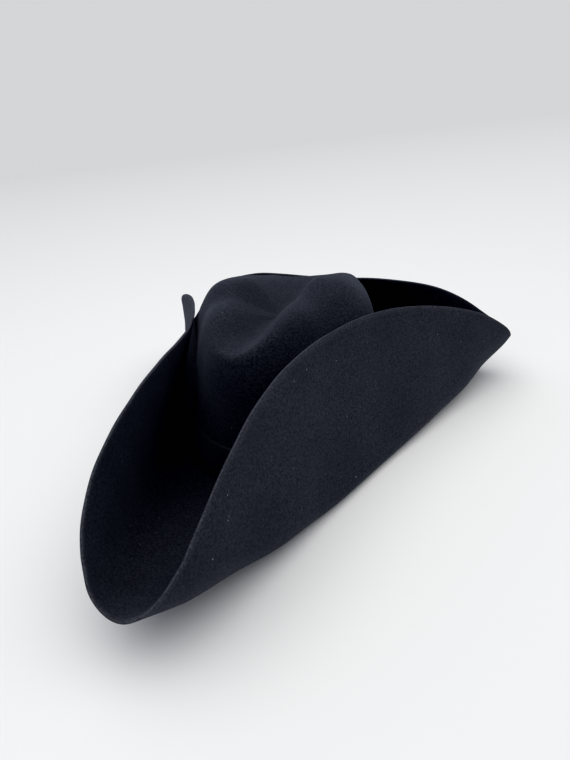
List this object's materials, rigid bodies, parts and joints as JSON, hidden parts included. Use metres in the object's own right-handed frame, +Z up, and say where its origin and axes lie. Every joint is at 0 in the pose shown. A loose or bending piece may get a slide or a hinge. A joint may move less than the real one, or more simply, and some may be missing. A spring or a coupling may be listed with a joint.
{
  "type": "tricorn hat",
  "caption": "Plain felt tricorn hat: dented crown, wide brim turned up into flaps that meet at front and rear corners, ribbon band.",
  "frame": {"origin": "middle of the hat's outline on the surface that it rests on", "axes": "+Z up out of the crown, -Y towards the front corner, +X towards the wearer's left"},
  "size_m": [0.347, 0.3774, 0.1265],
  "materials": {
    "felt": "matt black wool felt",
    "ribbon": "black ribbed ribbon, soft sheen"
  },
  "bodies": {
    "root": {"felt_body": "felt", "hat_band": "ribbon"}
  },
  "joints": []
}
